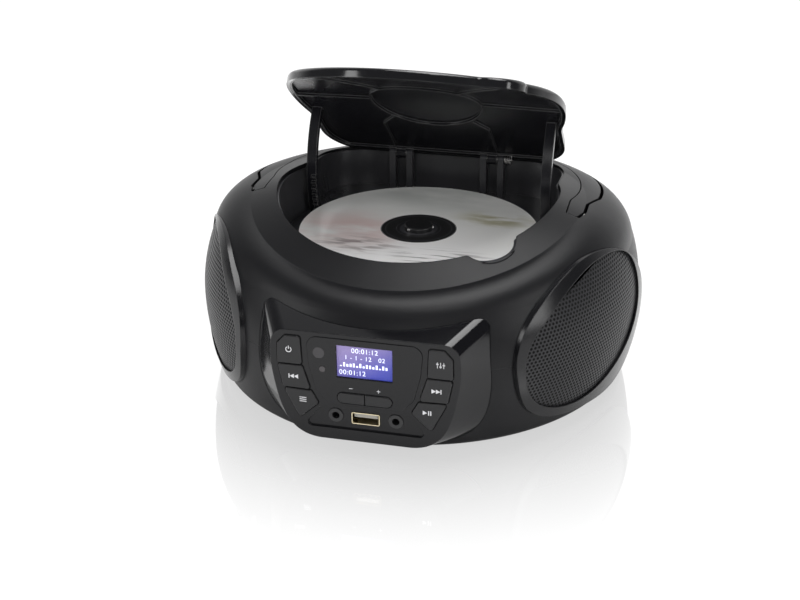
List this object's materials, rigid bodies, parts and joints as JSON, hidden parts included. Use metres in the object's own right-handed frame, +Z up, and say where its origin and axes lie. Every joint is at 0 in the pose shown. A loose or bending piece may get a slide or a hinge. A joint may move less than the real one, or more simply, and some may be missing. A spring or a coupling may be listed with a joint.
{
  "type": "portable cd radio",
  "caption": "Round portable disc player and radio with hinged lid, swing-up handle, front key panel, side speakers and telescoping antenna.",
  "frame": {"origin": "centre of the body's outline, on the surface the feet stand on", "axes": "+Z up, -Y towards the front panel, +X to the user's right"},
  "size_m": [0.2244, 0.2328, 0.1666],
  "materials": {
    "casing": "fine moulded texture",
    "gloss": "polished",
    "lid_liner": "satin",
    "plate": "polished",
    "window": "tinted",
    "display": "backlit",
    "lamp": "clear",
    "keys": "fine texture",
    "bezel": "satin",
    "grille": "black, perforated",
    "cone": "treated",
    "steel": "plated",
    "magnet": "ferrite",
    "board": "lacquered",
    "socket": "moulded",
    "disc": "printed, satin",
    "turntable": "moulded",
    "lens": "clear",
    "rubber": "plain",
    "transformer": "laminated",
    "antenna": "polished",
    "knuckle": "moulded"
  },
  "bodies": {
    "casing": {"lower_housing": "casing", "upper_housing": "casing", "cd_deck": "casing", "front_bezel": "gloss", "display_plate": "plate", "display_window": "window", "remote_window": "window", "display_module": "display", "status_light": "lamp", "speaker_bezel_left": "bezel", "speaker_bezel_right": "bezel", "grille_left": "grille", "grille_right": "grille", "speaker_cone_left": "cone", "speaker_cone_right": "cone", "speaker_frame_left": "steel", "speaker_frame_right": "steel", "mechanism_frame": "steel", "spindle_motor": "steel", "battery_springs": "steel", "battery_contacts": "steel", "hinge_pins": "steel", "lid_spring": "steel", "sled_rods": "steel", "usb_shell": "steel", "magnet_left": "magnet", "magnet_right": "magnet", "main_board": "board", "key_board": "board", "headphone_jack": "socket", "line_in_jack": "socket", "usb_tongue": "socket", "mains_inlet": "socket", "damper_body": "turntable", "feet": "rubber", "rubber_mounts": "rubber", "transformer": "transformer"},
    "lid": {"lid_outer": "gloss", "lid_inner": "lid_liner"},
    "damper": {"damper_gear": "turntable"},
    "spinner": {"turntable": "turntable", "hub_balls": "steel", "disc": "disc"},
    "sled": {"laser_sled": "turntable", "laser_lens": "lens"},
    "sled_pinion": {"sled_gear": "turntable"},
    "carry_handle": {"handle": "casing"},
    "aerial_base": {"antenna_knuckle": "knuckle", "antenna_outer": "antenna"},
    "aerial_middle": {"antenna_middle": "antenna"},
    "aerial_tip": {"antenna_tip": "antenna"},
    "door": {"battery_door": "knuckle"},
    "power_key_body": {"power_key": "keys"},
    "previous_key_body": {"previous_key": "keys"},
    "menu_key_body": {"menu_key": "keys"},
    "equaliser_key_body": {"equaliser_key": "keys"},
    "next_key_body": {"next_key": "keys"},
    "play_key_body": {"play_key": "keys"},
    "volume_up_key_body": {"volume_up_key": "keys"},
    "volume_down_key_body": {"volume_down_key": "keys"}
  },
  "joints": [
    {"name": "lid_hinge", "type": "hinge", "parent": "casing", "child": "lid", "pos_m": [0, 0.057, 0.089], "axis": [1, 0, 0], "range_deg": [0, 35], "stiffness_Nm_per_rad": 0.08, "springref_deg": -57.3},
    {"name": "damper_turn", "type": "hinge", "parent": "casing", "child": "damper", "pos_m": [-0.05955, 0.01275, 0.05443], "axis": [1, 0, 0], "range_deg": [-358, 1]},
    {"name": "turntable_spin", "type": "hinge", "parent": "casing", "child": "spinner", "pos_m": [0, -0.01, 0.06], "axis": [0, 0, 1], "continuous": true},
    {"name": "sled_slide", "type": "slide", "parent": "casing", "child": "sled", "axis": [0, 1, 0], "range_m": [0, 0.033]},
    {"name": "sled_pinion_turn", "type": "hinge", "parent": "casing", "child": "sled_pinion", "pos_m": [-0.02615, 0.0315, 0.06], "axis": [0, 0, 1], "range_deg": [-1, 316]},
    {"name": "handle_swing", "type": "hinge", "parent": "casing", "child": "carry_handle", "pos_m": [0, -0.013, 0.0875], "axis": [1, 0, 0], "range_deg": [0, 95]},
    {"name": "antenna_swing", "type": "hinge", "parent": "casing", "child": "aerial_base", "pos_m": [-0.044, 0.104, 0.062], "axis": [0, -1, 0], "range_deg": [0, 90]},
    {"name": "antenna_middle_slide", "type": "slide", "parent": "aerial_base", "child": "aerial_middle", "axis": [1, 0, 0], "range_m": [0, 0.07]},
    {"name": "antenna_tip_slide", "type": "slide", "parent": "aerial_middle", "child": "aerial_tip", "axis": [1, 0, 0], "range_m": [0, 0.07]},
    {"name": "battery_door_hinge", "type": "hinge", "parent": "casing", "child": "door", "pos_m": [0, 0.0644, 0.0043], "axis": [1, 0, 0], "range_deg": [0, 95]},
    {"name": "power_key_press", "type": "slide", "parent": "casing", "child": "power_key_body", "axis": [0, 1, 0], "range_m": [0, 0.0007], "stiffness_N_per_m": 1000},
    {"name": "previous_key_press", "type": "slide", "parent": "casing", "child": "previous_key_body", "axis": [0, 1, 0], "range_m": [0, 0.0007], "stiffness_N_per_m": 1000},
    {"name": "menu_key_press", "type": "slide", "parent": "casing", "child": "menu_key_body", "axis": [0, 1, 0], "range_m": [0, 0.0007], "stiffness_N_per_m": 1000},
    {"name": "equaliser_key_press", "type": "slide", "parent": "casing", "child": "equaliser_key_body", "axis": [0, 1, 0], "range_m": [0, 0.0007], "stiffness_N_per_m": 1000},
    {"name": "next_key_press", "type": "slide", "parent": "casing", "child": "next_key_body", "axis": [0, 1, 0], "range_m": [0, 0.0007], "stiffness_N_per_m": 1000},
    {"name": "play_key_press", "type": "slide", "parent": "casing", "child": "play_key_body", "axis": [0, 1, 0], "range_m": [0, 0.0007], "stiffness_N_per_m": 1000},
    {"name": "volume_up_key_press", "type": "slide", "parent": "casing", "child": "volume_up_key_body", "axis": [0, 1, 0], "range_m": [0, 0.0007], "stiffness_N_per_m": 1000},
    {"name": "volume_down_key_press", "type": "slide", "parent": "casing", "child": "volume_down_key_body", "axis": [0, 1, 0], "range_m": [0, 0.0007], "stiffness_N_per_m": 1000}
  ],
  "couplings": [
    {"joint": "damper_turn", "follows": "lid_hinge", "ratio": -10.2},
    {"joint": "sled_pinion_turn", "follows": "sled_slide", "rad_per_m": 166.67}
  ]
}
